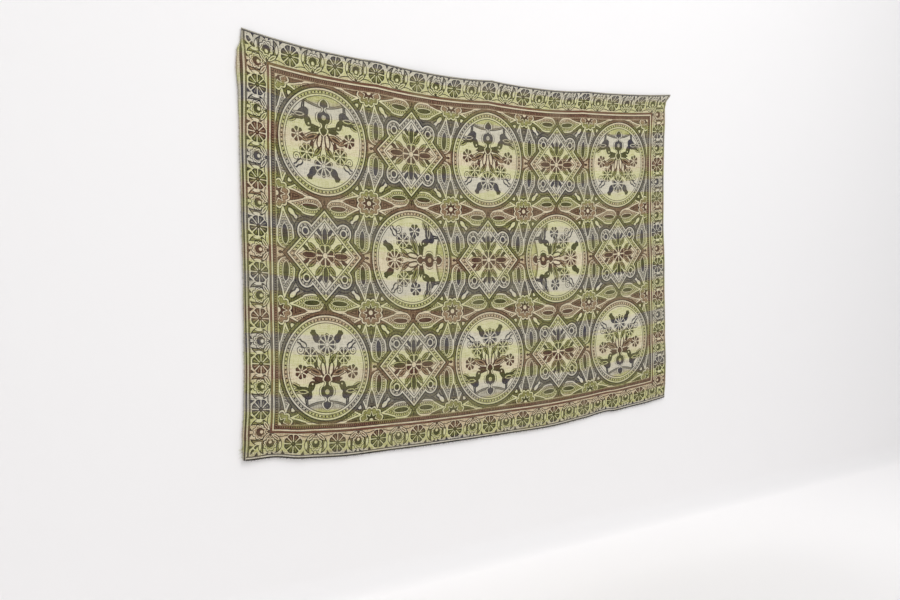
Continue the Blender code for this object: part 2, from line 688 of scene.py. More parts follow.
    def lay(self, under: Number, way: Term, plies: Sequence[Ply]) -> Term:
        """Weave a shape as plies from its edge inwards.

        Args:
            under: Shade so far.
            way: Distance outside the shape, negative inside.
            plies: Width and shade of each ply; the last one fills the rest.

        Returns:
            The new shade.
        """
        edge = 0.02
        reach = sum(width for width, _ in plies[:-1]) * (1.0 + edge) + edge
        stops, depth = [(0.0, (0.0, 0.0, 0.0, 0.0))], 0.0
        for width, shade in plies:
            level = (shade.value, shade.value, shade.value, 1.0)
            stops.append((edge + depth / reach * (1.0 - edge), level))
            depth += width
        made = self.ramp(way.plus(-(1.0 - edge) / reach, edge), stops, "CONSTANT")
        return self.mix(Term(self, made.outputs["Alpha"]), under, Term(self, made.outputs["Color"]))

    def petal_way(self, point: bpy.types.NodeSocket, petal: Petal) -> tuple[Term, Term]:
        """Distance outside a petal, and the way along it.

        Args:
            point: Point in the repeat.
            petal: The petal.

        Returns:
            The distance, and the way along, 0.2 at the foot and 0.8 at the tip.
        """
        turn = math.radians(petal.turn)
        tail = petal.length * self.petal_foot / self.petal_span
        at = (petal.x + math.sin(turn) * tail, petal.y - math.cos(turn) * tail)
        x, y = self.parts(self.placed(point, at, petal.turn, (1.0, petal.length / self.petal_span)))
        if petal.lean:
            x = (y * y).plus(-petal.lean, x)
        made = self.node("ShaderNodeFloatCurve")
        body = [(self.petal_foot + self.petal_span * share, -half * petal.length)
                for share, half in petal.outline.value]
        stops = [(0.0, tail), *body, (1.0, tail)]
        line = made.mapping.curves[0]
        made.mapping.use_clip = False
        made.mapping.extend = "EXTRAPOLATED"
        while len(line.points) < len(stops):
            line.points.new(0.5, 0.5)
        for dot, stop in zip(line.points, stops):
            dot.location = stop
        made.mapping.update()
        self.feed(made.inputs["Value"], y)
        return abs(x) + Term(self, made.outputs[0]), y

    def petal(self, under: Number, point: bpy.types.NodeSocket, petal: Petal) -> Term:
        """Lay a petal on the shade so far."""
        return self.lay(under, self.petal_way(point, petal)[0], petal.plies)

    def bloom(self, under: Number, point: bpy.types.NodeSocket, bloom: Bloom,
              pointed: bool = False) -> Term:
        """Lay a round flower.

        Args:
            under: Shade so far.
            point: Point in the repeat.
            bloom: The flower.
            pointed: Give its petals points instead of round ends.

        Returns:
            The new shade.
        """
        x, y = self.parts(self.placed(point, (bloom.x, bloom.y), 0.0))
        radius = self.apart(point, bloom.x, bloom.y)
        turn = y.done("ARCTAN2", x) * (0.5 * bloom.petals)
        wave = abs(turn.done("SINE"))
        depth = bloom.notch * bloom.radius
        rim = wave.plus(-depth, bloom.radius) if pointed else wave.plus(depth, bloom.radius - depth)
        shade = self.lay(under, radius - rim, bloom.plies)
        for bars, half, reach, light in (("SINE", bloom.rays, self.ray_reach, GROUND),
                                         ("COSINE", bloom.veins, self.vein_reach, MID)):
            if half:
                across = (abs(turn.done(bars)) * radius).plus(2.0 / bloom.petals, -half)
                ring = abs(radius - self.bar_middle * bloom.radius) - reach * bloom.radius
                shade = self.lay(shade, across.higher(ring), ((0.0, light),))
        return shade

    def dot(self, under: Number, point: bpy.types.NodeSocket, dot: Dot) -> Term:
        """Lay a round spot."""
        return self.lay(under, self.apart(point, dot.x, dot.y) - dot.radius, dot.plies)

    def volute(self, under: Number, point: bpy.types.NodeSocket, at: tuple[float, float],
               radius: float, pitch: float, start: float, ply: Ply) -> Term:
        """Lay a spiral line.

        Args:
            under: Shade so far.
            point: Point in the repeat.
            at: Middle of the spiral.
            radius: Its outer radius.
            pitch: Distance from turn to turn.
            start: Where the line begins, as a share of a turn.
            ply: Half width and shade of the line.

        Returns:
            The new shade.
        """
        x, y = self.parts(self.placed(point, at, 0.0))
        reach = self.apart(point, *at)
        wound = y.done("ARCTAN2", x).plus(1.0 / TURN, start) + reach * (1.0 / pitch)
        line = abs(wound.done("FRACT") - 0.5).plus(pitch, -ply[0])
        return self.lay(under, line.higher(reach - radius), ((0.0, ply[1]),))

    def draw(self, under: Number, point: bpy.types.NodeSocket,
             motifs: Iterable[Petal | Bloom | Dot]) -> Term:
        """Lay motifs one on another.

        Args:
            under: Shade so far.
            point: Point in the repeat.
            motifs: The motifs, the lowest first.

        Returns:
            The new shade.
        """
        tools = {Petal: self.petal, Bloom: self.bloom, Dot: self.dot}
        for motif in motifs:
            under = tools[type(motif)](under, point, motif)
        return under


class Group:
    """A shader node group with named inputs and outputs, and the sketch inside it."""

    def __init__(self, name: str, inputs: dict[str, str], outputs: dict[str, str]) -> None:
        """Make an empty group.

        Args:
            name: Name of the group.
            inputs: Socket type of each input by name.
            outputs: Socket type of each output by name.
        """
        self.tree = bpy.data.node_groups.new(name, "ShaderNodeTree")
        for way, labels in (("INPUT", inputs), ("OUTPUT", outputs)):
            for label, kind in labels.items():
                self.tree.interface.new_socket(label, in_out=way, socket_type=kind)
        self.sketch = Sketch(self.tree)
        self.entry = self.sketch.node("NodeGroupInput")
        self.exit = self.sketch.node("NodeGroupOutput")

    def read(self, name: str) -> Term:
        """An input, by name."""
        return Term(self.sketch, self.entry.outputs[name])

    def give(self, name: str, value: object) -> None:
        """Send a value to an output, by name."""
        self.sketch.feed(self.exit.inputs[name], value)

    def put(self, sketch: Sketch, **values: object) -> bpy.types.Node:
        """Place the group in another tree.

        Args:
            sketch: Sketch that gets the group.
            **values: Input values by name.

        Returns:
            The group's node.
        """
        made = sketch.node("ShaderNodeGroup", node_tree=self.tree)
        for label, value in values.items():
            sketch.feed(made.inputs[label], value)
        return made


FLOAT = "NodeSocketFloat"
VECTOR = "NodeSocketVector"
COLOUR = "NodeSocketColor"


# ----------------------------------------------------------------------- the design


@dataclass(frozen=True)
class Layout:
    """Where the borders and the cells of the middle lie, in millimetres."""

    half_width: float = 500.0 * SIZE.face_width
    half_drop: float = 500.0 * SIZE.drop
    border: float = 123.5
    selvedge: float = 1000.0 * SIZE.selvedge
    columns: int = 5
    rows: int = 3

    @property
    def cell(self) -> tuple[float, float]:
        """Width and height of a cell of the middle."""
        return (2.0 * (self.half_width - self.border) / self.columns,
                2.0 * (self.half_drop - self.border) / self.rows)


LAYOUT = Layout()
SOLID = ((2.4, LINE), (0.0, DARK))
VEINED = ((2.6, LINE), (5.4, MID), (0.0, LINE))
LIT = ((2.6, LINE), (3.4, DARK), (0.0, GROUND))


@dataclass(frozen=True)
class Border:
    """The four borders, measured inwards from the outer cream lines in millimetres.

    The cloth is cut a little inside the outer line at the top and outside it at the foot.
    The arch beside a flower is what one circle covers outside another, both given by their
    place along the border and their radius. Dash_half is half a dash's length and width,
    and a tint is how far the yarns change to those of the stripes.
    """

    side_repeat: float = 162.7
    top_repeat: float = 2.0 * LAYOUT.half_width / 12.0
    top_start: float = 5.0
    foot_start: float = -4.5
    middle: float = 50.5
    motif_start: float = 10.4
    motif_end: float = 89.6
    ground: float = 0.90
    vine_middle: float = 31.0
    vine_swing: float = 4.0
    vine_half: float = 1.7
    arch_outer: tuple[float, float] = (11.2, 37.0)
    arch_inner: tuple[float, float] = (-123.8, 150.8)
    arch_inward: float = -3.5
    dash_pitch: float = 9.0
    dash_middle: float = 113.5
    dash_half: tuple[float, float] = (2.3, 3.4)
    dash_band_half: float = 4.6
    dash_band_tint: float = 0.5
    stripe_middle: float = 94.6
    stripe_half: float = 3.2
    stripe_tint: float = 0.55
    lines: tuple[Ply, ...] = (
        (3.2, GROUND), (1.2, LINE), (4.6, DEEP), (1.4, LINE), (79.2, GROUND), (1.8, LINE),
        (6.4, DEEP), (1.2, LINE), (5.2, GROUND), (1.6, LINE), (3.2, DARK), (9.2, MID),
        (2.2, LINE), (3.3, PALE), (0.0, LINE))
    selvedge: tuple[Ply, ...] = ((3.0, MID), (12.6, GROUND), (9.8, DARK), (0.0, GROUND))
    hem: tuple[Ply, ...] = ((3.6, PALE), (0.0, DARK))
    foot: tuple[Ply, ...] = ((5.6, LINE), (4.7, GROUND), (1.2, LINE), (2.4, DEEP), (0.0, LINE))
    hem_depth: float = 12.5
    foot_depth: float = 10.4
    motifs: tuple[Petal | Bloom | Dot, ...] = (
        Petal(-43.0, 54.0, -104.0, 19.0, 0.0, DART, SOLID),
        Petal(-43.0, 12.0, -120.0, 15.0, 0.0, DART, SOLID),
        Petal(-25.0, 39.0, -84.0, 40.0, 4.0, LEAF, ((2.4, LINE), (0.0, GROUND))),
        Petal(39.0, 3.0, 42.0, 50.0, 8.0, LEAF, ((3.0, LINE), (4.0, GROUND), (0.0, DEEP))),
        Petal(44.0, 0.0, 90.0, 20.0, 0.0, DART, SOLID),
        Bloom(-2.0, 0.0, 30.0, 8, 0.22, 0.0, ((3.4, LINE), (5.0, GROUND), (2.8, DEEP), (0.0, PALE))),
        Dot(0.0, 0.0, 15.5, ((2.2, LINE), (0.0, DARK))),
        Dot(6.0, 0.0, 7.6, ((1.8, MID), (0.0, GROUND))),
    )
    rosette: tuple[Bloom | Dot, ...] = (
        Bloom(0.0, 0.0, 39.5, 8, 0.09, 1.7, ((2.6, GROUND), (3.0, LINE), (0.0, DARK)), 1.5),
        Dot(0.0, 0.0, 6.0, ((1.8, LINE), (0.0, DEEP))),
    )

    def repeat_group(self) -> Group:
        """One repeat of the border: an open flower with its leaf, then a rosette.

        Returns:
            The group, from Inward, Along and Half to Shade.
        """
        group = Group("Border repeat", {"Inward": FLOAT, "Along": FLOAT, "Half": FLOAT},
                      {"Shade": FLOAT})
        s = group.sketch
        inward, along = group.read("Inward"), group.read("Along")
        here = s.point(inward, along)
        far = s.point(inward, group.read("Half") - along)
        swing = (along * (TURN / (0.5 * self.side_repeat))).done("COSINE")
        vine = abs(inward - swing.plus(self.vine_swing, self.vine_middle)) - self.vine_half
        shade = s.lay(self.ground, vine, ((0.0, LINE),))
        (outer_at, outer), (inner_at, inner) = self.arch_outer, self.arch_inner
        arch = s.apart(here, self.arch_inward, outer_at) - outer
        arch = arch.higher(inner - s.apart(here, self.arch_inward, inner_at))
        shade = s.lay(shade, arch, ((4.0, LINE), (0.0, MID)))
        shade = s.draw(shade, here, self.motifs)
        group.give("Shade", s.draw(shade, far, self.rosette))
        return group

    def design_group(self) -> Group:
        """Borders, guard stripes and selvedges.

        Returns:
            The group, from Point to Shade and Stripe.
        """
        group = Group("Border design", {"Point": VECTOR}, {"Shade": FLOAT, "Stripe": FLOAT})
        s = group.sketch
        x, y = s.parts(group.read("Point").socket)
        across, down = abs(x), abs(y)
        inset = LAYOUT.half_width - across
        foot, rise = y.over(0.0), LAYOUT.half_drop - down
        start = s.mix(foot, self.top_start, self.foot_start)
        depth = rise * start.plus(-1.0 / LAYOUT.border, 1.0) + start
        inward = inset.lower(depth)
        side = inset.under(depth)
        half = side.plus(0.5 * (self.side_repeat - self.top_repeat), 0.5 * self.top_repeat)
        along = s.mix(side, across + 0.5 * self.top_repeat, down)
        repeat = self.repeat_group().put(s, Inward=inward - self.middle,
                                         Along=along.done("PINGPONG", half), Half=half)
        shade = s.lay(DARK.value, -1.0 * inward, self.lines)
        zone = 0.5 * (self.motif_end - self.motif_start)
        in_motifs = abs(inward - (self.motif_start + zone)).under(zone)
        shade = s.mix(in_motifs, shade, Term(s, repeat.outputs["Shade"]))
        bead = (along * (1.0 / self.dash_pitch)).done("FRACT") - 0.5
        way = abs(inward - self.dash_middle)
        dash = abs(bead).plus(self.dash_pitch, -self.dash_half[0]).higher(way - self.dash_half[1])
        shade = s.lay(shade, dash, ((0.0, LINE),))
        rims = [s.lay(shade, -1.0 * rise, plies) for plies in (self.hem, self.foot)]
        rim = depth.under(s.mix(foot, self.hem_depth, self.foot_depth))
        shade = s.mix(rim, shade, s.mix(foot, *rims))
        strip = s.lay(MID.value, -1.0 * (inset + LAYOUT.selvedge), self.selvedge)
        group.give("Shade", s.mix(inset.under(0.0), shade, strip))
        line = abs(inward - self.stripe_middle).under(self.stripe_half) * self.stripe_tint
        band = way.under(self.dash_band_half) * dash.over(0.0) * self.dash_band_tint
        group.give("Stripe", line.higher(band))
        return group


@dataclass(frozen=True)
class Middle:
    """The middle of the cloth: ovals and lozenges in turn, in strapwork and drops.

    The ground gets darker and lighter by ground_shade, its swing and its mean. The hill that
    vase and birds stand on is a disc far below the oval's middle.
    """

    oval: float = 186.0
    lozenge: float = 160.0
    lobe: float = 36.0
    frame: float = 15.0
    strap: float = 13.0
    ring: float = 55.0
    oval_beads: int = 72
    lozenge_beads: int = 56
    bead_pitch: float = 15.0
    bead_radius: float = 3.4
    drop_bead_pitch: float = 9.0
    drop_bead_radius: float = 2.6
    drop_bead_inset: float = 14.0
    hill_middle: float = -330.0
    hill_radius: float = 216.0
    hill_margin: float = 9.0
    ground_shade: tuple[float, float] = (-0.21, 0.62)
    strap_plies: tuple[Ply, ...] = ((2.6, LINE), (8.4, DEEP), (0.0, LINE))
    frame_plies: tuple[Ply, ...] = ((2.6, LINE), (5.6, GROUND), (2.4, LINE), (0.0, PALE))
    drop_plies: tuple[Ply, ...] = ((6.4, GROUND), (2.4, LINE), (9.4, PALE), (2.4, LINE),
                                   (3.6, GROUND), (0.0, DARK))

    def fold(self, s: Sketch, point: bpy.types.NodeSocket) -> tuple[Term, Term, Term]:
        """Point in its cell, and which row of cells it is in.

        Args:
            s: Sketch of the design.
            point: Point from the middle of the cloth.

        Returns:
            Across and down from the cell's middle, and the row.
        """
        width, height = LAYOUT.cell
        across, down = (abs(part) for part in s.parts(point))
        column = (across * (1.0 / width)).done("ROUND")
        row = (down * (1.0 / height)).done("ROUND")
        return column.plus(-width, across), row.plus(-height, down), row

    def corner_group(self) -> Group:
        """Drops, leaves and a palmette about the corner where four cells meet.

        Returns:
            The group, from Point, measured from the corner, to Shade.
        """
        group = Group("Corner ornament", {"Point": VECTOR}, {"Shade": FLOAT})
        s = group.sketch
        point = group.read("Point").socket
        _, y = s.parts(point)
        shade = (y * (TURN / LAYOUT.cell[1])).done("COSINE").plus(*self.ground_shade)
        shade = s.draw(shade, point, (
            Dot(200.0, 12.0, 9.0, LIT),
            Dot(12.0, 212.0, 9.0, LIT),
            Petal(118.0, 66.0, -102.0, 50.0, 8.0, LEAF, VEINED),
            Petal(66.0, 122.0, 12.0, 50.0, -8.0, LEAF, VEINED),
        ))
        drops = (Petal(36.0, 24.0, -80.0, 150.0, 26.0, DROP, self.drop_plies),
                 Petal(24.0, 36.0, -10.0, 158.0, -26.0, DROP, self.drop_plies))
        ways = [s.petal_way(point, drop) for drop in drops]
        ring = s.apart(point, 0.0, 0.0) - self.ring
        union = ways[0][0].lower(ways[1][0]).lower(ring)
        shade = s.lay(shade, union - self.strap, self.strap_plies)
        for drop, (way, along) in zip(drops, ways):
            shade = s.lay(shade, way, drop.plies)
            count = drop.length / (s.petal_span * self.drop_bead_pitch)
            bead = (along * count).done("FRACT")
            bead = bead.plus(self.drop_bead_pitch, -0.5 * self.drop_bead_pitch)
            row = s.apart(s.point(bead, way), 0.0, -self.drop_bead_inset)
            shade = s.lay(shade, row - self.drop_bead_radius, ((0.0, LINE),))
        shade = s.bloom(shade, point, Bloom(0.0, 0.0, 58.0, 12, 0.14, 0.0, (
            (2.6, LINE), (6.0, GROUND), (2.4, LINE), (0.0, MID))))
        shade = s.bloom(shade, point, Bloom(0.0, 0.0, 40.0, 8, 0.36, 0.0, (
            (2.4, LINE), (5.0, GROUND), (2.0, LINE), (0.0, DARK))), pointed=True)
        group.give("Shade", s.draw(shade, point, (
            Petal(46.0, 46.0, -45.0, 50.0, 0.0, TULIP, LIT),
            Dot(0.0, 0.0, 11.0, ((2.0, LINE), (0.0, GROUND))),
        )))
        return group

    def ground(self, s: Sketch, corner: Group, x: Term, y: Term) -> Term:
        """The ornament outside the cartouches, by the distance from the cell's corner.

        Args:
            s: Sketch of the design.
            corner: The ornament round the cells' corners.
            x: Across from the cell's middle, without its sign.
            y: Down from the cell's middle, without its sign.

        Returns:
            Its shade.
        """
        half = [0.5 * size for size in LAYOUT.cell]
        made = corner.put(s, Point=s.point(half[0] - x, half[1] - y))
        return Term(s, made.outputs["Shade"])

    def beads(self, s: Sketch, under: Term, x: Term, y: Term, way: Term, count: int) -> Term:
        """Row of beads in a cartouche's frame.

        Args:
            s: Sketch of the design.
            under: Shade so far.
            x: Across from the cell's middle.
            y: Down from the cell's middle.
            way: Distance from the middle of the frame.
            count: Beads in the whole frame.

        Returns:
            The new shade.
        """
        turn = (y.done("ARCTAN2", x) * (count / TURN)).done("FRACT")
        along = turn.plus(self.bead_pitch, -0.5 * self.bead_pitch)
        bead = s.apart(s.point(along, way), 0.0, 0.0) - self.bead_radius
        return s.lay(under, bead, ((0.0, LINE),))

    def lozenge_group(self, corner: Group) -> Group:
        """A lobed lozenge with a star flower.

        Args:
            corner: The ornament round the cells' corners.

        Returns:
            The group, from Point to Shade.
        """
        group = Group("Lozenge design", {"Point": VECTOR}, {"Shade": FLOAT})
        s = group.sketch
        x, y, _ = self.fold(s, group.read("Point").socket)
        x, y = abs(x), abs(y)
        shade = self.ground(s, corner, x, y)
        tall = y * (LAYOUT.cell[0] / LAYOUT.cell[1])
        side = 0.5 * self.lozenge
        quarter = s.point(x, tall)
        lobe = s.apart(quarter, side, side) - self.lobe
        way = (x + tall).plus(SLANT, -SLANT * self.lozenge).lower(lobe)
        shade = s.lay(shade, way - self.strap, (*self.strap_plies[:2], (2.0, LINE), (0.0, GROUND)))
        leaf = ((2.6, LINE), (4.6, PALE), (2.0, LINE), (0.0, DARK))
        shade = s.draw(shade, quarter, (
            Petal(0.0, 24.0, 0.0, 88.0, 0.0, LEAF, leaf),
            Petal(24.0, 0.0, -90.0, 88.0, 0.0, LEAF, leaf),
            Petal(12.0, 34.0, -46.0, 54.0, -12.0, LEAF, VEINED),
            Petal(34.0, 12.0, -44.0, 54.0, 12.0, LEAF, VEINED),
            Petal(12.0, 66.0, -44.0, 38.0, -8.0, LEAF, SOLID),
            Petal(66.0, 12.0, -46.0, 38.0, 8.0, LEAF, SOLID),
            Bloom(0.0, 0.0, 44.0, 8, 0.20, 2.4, ((2.6, LINE), (4.6, PALE), (2.2, LINE), (0.0, DARK))),
            Dot(0.0, 0.0, 12.0, ((2.2, LINE), (0.0, GROUND))),
        ))
        band = abs(way + self.frame) - self.frame
        shade = s.lay(shade, band, self.frame_plies)
        shade = self.beads(s, shade, x, tall, way + self.frame, self.lozenge_beads)
        group.give("Shade", s.draw(shade, quarter, (
            Dot(side, side, 18.0, ((2.4, LINE), (5.0, GROUND), (2.2, LINE), (0.0, DARK))),)))
        return group

    def oval_group(self, corner: Group) -> Group:
        """An oval with a vase of flowers and a pair of birds.

        Args:
            corner: The ornament round the cells' corners.

        Returns:
            The group, from Point to Shade.
        """
        group = Group("Oval design", {"Point": VECTOR}, {"Shade": FLOAT})
        s = group.sketch
        x, y, row = self.fold(s, group.read("Point").socket)
        shade = self.ground(s, corner, abs(x), abs(y))
        tall = y * (LAYOUT.cell[0] / LAYOUT.cell[1])
        way = s.apart(s.point(x, tall), 0.0, 0.0) - self.oval
        shade = s.lay(shade, way - self.strap, (*self.strap_plies[:2], (2.0, LINE), (0.0, GROUND)))
        half = s.point(s.mix(row, abs(tall), abs(x)), s.mix(row, x, -1.0 * tall))
        shade = s.volute(shade, half, at=(112.0, 62.0), radius=19.0, pitch=9.0, start=0.1,
                         ply=(1.4, DARK))
        hill = s.apart(half, 0.0, self.hill_middle) - self.hill_radius
        hill = hill.higher(way + self.hill_margin)
        shade = s.lay(shade, hill, ((2.4, LINE), (5.0, MID), (2.0, DARK), (0.0, PALE)))
        shade = s.draw(shade, half, self.bouquet())
        shade = s.draw(shade, half, self.bird())
        shade = s.lay(shade, abs(way + self.frame) - self.frame, self.frame_plies)
        group.give("Shade", self.beads(s, shade, x, tall, way + self.frame, self.oval_beads))
        return group

    def bouquet(self) -> tuple[Petal | Bloom | Dot, ...]:
        """Right half of the vase and its flowers, growing towards +Y.

        Returns:
            The motifs, the lowest first.
        """
        stem, eye = ((0.0, DARK),), ((2.0, LINE), (0.0, GROUND))
        bloom = ((2.6, LINE), (4.4, PALE), (2.2, LINE), (0.0, DARK))
        return (
            Petal(0.0, -56.0, -6.0, 130.0, 6.0, STEM, stem),
            Petal(0.0, -56.0, -30.0, 128.0, 14.0, STEM, stem),
            Petal(0.0, -56.0, -58.0, 122.0, 20.0, STEM, stem),
            Petal(6.0, 14.0, -36.0, 54.0, 8.0, LEAF, VEINED),
            Petal(10.0, -34.0, -16.0, 66.0, -10.0, LEAF, LIT),
            Petal(22.0, -24.0, -62.0, 62.0, 12.0, LEAF, VEINED),
            Petal(46.0, -4.0, -14.0, 46.0, -10.0, LEAF, SOLID),
            Petal(60.0, 4.0, -106.0, 50.0, 8.0, LEAF, VEINED),
            Petal(8.0, -44.0, -92.0, 58.0, -16.0, LEAF, SOLID),
            Petal(34.0, 88.0, -30.0, 50.0, 6.0, TULIP, SOLID),
            Petal(86.0, 70.0, -48.0, 42.0, 6.0, TULIP, LIT),
            Bloom(0.0, 82.0, 40.0, 10, 0.18, 2.2, bloom),
            Dot(0.0, 82.0, 10.0, eye),
            Bloom(70.0, 42.0, 32.0, 8, 0.20, 2.0, bloom),
            Dot(70.0, 42.0, 8.0, eye),
            Bloom(108.0, -14.0, 26.0, 7, 0.20, 2.0, ((2.4, LINE), (0.0, DARK))),
            Dot(108.0, -14.0, 7.0, eye),
            Petal(0.0, -126.0, 0.0, 84.0, 0.0, VASE,
                  ((2.6, LINE), (6.0, GROUND), (2.6, LINE), (0.0, DARK))),
            Dot(0.0, -84.0, 11.0, ((2.0, LINE), (0.0, PALE))),
        )

    def bird(self) -> tuple[Petal | Dot, ...]:
        """One of two birds that face the vase.

        Returns:
            The motifs, the lowest first.
        """
        plume = ((2.2, LINE), (4.0, PALE), (0.0, LINE))
        return (
            Petal(84.0, -96.0, 176.0, 42.0, 0.0, BLADE, ((0.0, LINE),)),
            Petal(94.0, -92.0, 170.0, 44.0, 0.0, BLADE, ((0.0, LINE),)),
            Petal(108.0, -72.0, -58.0, 50.0, 12.0, LEAF, plume),
            Petal(104.0, -80.0, -88.0, 48.0, 10.0, LEAF, plume),
            Petal(136.0, -60.0, 114.0, 84.0, -14.0, DROP, SOLID),
            Petal(82.0, -100.0, 24.0, 60.0, 0.0, DROP, SOLID),
            Petal(50.0, -50.0, 100.0, 20.0, 0.0, DART, SOLID),
            Dot(62.0, -56.0, 3.4, ((0.0, GROUND),)),
            Petal(76.0, -84.0, -82.0, 52.0, 8.0, LEAF, plume),
        )


# ------------------------------------------------------------------------- the yarns


def linear(red: int, green: int, blue: int) -> tuple[float, float, float, float]:
    """Colour of a yarn from everyday 0 to 255 values.

    Args:
        red: Red.
        green: Green.
        blue: Blue.

    Returns:
        The same colour in linear light, with full alpha.
    """
    parts = (((c / 255.0) + 0.055) / 1.055 for c in (red, green, blue))
    return (*(part**2.4 for part in parts), 1.0)


@dataclass(frozen=True)
class YarnBand:
    """Yarns that show in one band of the weft, from the outline to the ground."""

    line: tuple[int, int, int]
    dark: tuple[int, int, int]
    deep: tuple[int, int, int]
    mid: tuple[int, int, int]
    pale: tuple[int, int, int]
    ground: tuple[int, int, int]

    def stops(self) -> list[tuple[float, tuple[float, ...]]]:
        """Ramp from the outline yarn to the ground yarn."""
        yarns = (self.line, self.dark, self.deep, self.mid, self.pale, self.ground)
        return [(shade.value, linear(*yarn)) for shade, yarn in zip(Shade, yarns)]


MADDER = YarnBand((46, 34, 24), (80, 46, 38), (102, 80, 58), (140, 111, 84),
                  (184, 162, 128), (217, 206, 177))
MOSS = YarnBand((44, 39, 20), (68, 70, 35), (96, 92, 52), (135, 134, 75),
                (181, 179, 116), (212, 208, 167))
SLATE = YarnBand((40, 36, 32), (57, 55, 74), (91, 86, 69), (122, 117, 103),
                 (172, 166, 149), (211, 205, 187))
STRIPES = ((104, 54, 46), (134, 108, 62), (98, 88, 84))


@dataclass(frozen=True)
class Weft:
    """Bands of the weft down the cloth.

    The repeat and where the first one begins are in millimetres. The changes of yarn and
    half their softness are shares of the repeat.
    """

    repeat: float = 215.0
    first: float = 120.0
    changes: tuple[float, ...] = (0.12, 0.33, 0.60, 0.85)
    soft: float = 0.05

    def colour_group(self) -> Group:
        """Colour of the yarn that shows, by depth of shade and way down the cloth.

        Returns:
            The group, from Shade, Down and Stripe to Color.
        """
        group = Group("Weft colours", {"Shade": FLOAT, "Down": FLOAT, "Stripe": FLOAT},
                      {"Color": COLOUR})
        s = group.sketch
        shade, down = group.read("Shade"), group.read("Down")
        phase = down.plus(1.0 / self.repeat, -self.first / self.repeat).done("FRACT")
        madder, moss, slate = (1.0, 0.0, 0.0, 1.0), (0.0, 1.0, 0.0, 1.0), (0.0, 0.0, 1.0, 1.0)
        order = (madder, moss, slate, moss, madder)
        stops = []
        for place, above, below in zip(self.changes, order, order[1:]):
            stops += [(place - self.soft, above), (place + self.soft, below)]
        weights = s.ramp(phase, stops)
        parts = s.node("ShaderNodeSeparateColor")
        s.feed(parts.inputs[0], weights.outputs["Color"])
        colours = [s.ramp(shade, band.stops()).outputs["Color"] for band in (MADDER, MOSS, SLATE)]
        mixed = s.blend(Term(s, parts.outputs[1]), colours[0], colours[1])
        mixed = s.blend(Term(s, parts.outputs[2]), mixed, colours[2])
        warm, green, cool = (linear(*yarn) for yarn in STRIPES)
        stripe = s.blend(Term(s, parts.outputs[1]), warm, green)
        stripe = s.blend(Term(s, parts.outputs[2]), stripe, cool)
        group.give("Color", s.blend(group.read("Stripe"), mixed, stripe))
        return group


@dataclass(frozen=True)
class Weave:
    """Fine structure of the cloth.

    Rib and row are in millimetres, relief is how far they rise beside the slubs, and each
    noise has its lumps a millimetre, across and down.
    """

    rib: float = 1.9
    row: float = 1.3
    relief: float = 0.30
    warp_slubs: tuple[float, float] = (0.42, 0.030)
    weft_slubs: tuple[float, float] = (0.022, 0.36)
    specks: tuple[float, float] = (0.30, 0.34)
    wear: tuple[float, float] = (0.007, 0.007)

    def group(self) -> Group:
        """Warp ribs, weft rows, slubs and worn patches.

        Returns:
            The group, from Point, in millimetres, to Height, Streak and Worn.
        """
        group = Group("Woven structure", {"Point": VECTOR},
                      {"Height": FLOAT, "Streak": FLOAT, "Worn": FLOAT})
        s = group.sketch
        point = group.read("Point").socket
        across, down = s.parts(point)
        ribs = (across * (TURN / self.rib)).done("SINE")
        rows = (down * (TURN / self.row)).done("SINE")
        slubs = s.noise(point, self.warp_slubs) + s.noise(point, self.weft_slubs)
        group.give("Height", (ribs * rows).plus(self.relief, slubs))
        group.give("Streak", slubs + s.noise(point, self.specks, 1.0) - 1.5)
        group.give("Worn", s.noise(point, self.wear, 3.0))
        return group


class Region(Enum):
    """Parts of the cloth that are drawn apart."""

    BORDER = 0
    OVAL = 1
    LOZENGE = 2


class SharedGroups:
    """The node groups that the finishes of the tapestry share."""

    def __init__(self) -> None:
        """Draw the designs, the weft and the weave."""
        corner = Middle().corner_group()
        self.designs = {
            Region.BORDER: Border().design_group(),
            Region.OVAL: Middle().oval_group(corner),
            Region.LOZENGE: Middle().lozenge_group(corner),
        }
        self.weft = Weft().colour_group()
        self.weave = Weave().group()


def new_shader(name: str, gloss: float) -> tuple[bpy.types.Material, Sketch, bpy.types.Node]:
    """A new material with its Principled shader.

    Args:
        name: Name of the material.
        gloss: Its specular level.

    Returns:
        The material, a sketch of its tree and the shader.
    """
    made = bpy.data.materials.new(name)
    made.use_nodes = True
    shader = made.node_tree.nodes["Principled BSDF"]
    shader.location = (1900.0, 0.0)
    shader.inputs["Specular IOR Level"].default_value = gloss
    return made, Sketch(made.node_tree), shader


def weave_point(s: Sketch, middle: tuple[float, float] = (0.0, 0.0)) -> bpy.types.NodeSocket:
    """Place on the cloth in millimetres, measured from a point given in metres."""
    flat = s.node("ShaderNodeUVMap", uv_map=WEAVE_MAP).outputs[0]
    return s.placed(flat, middle, 0.0, (0.001, 0.001))


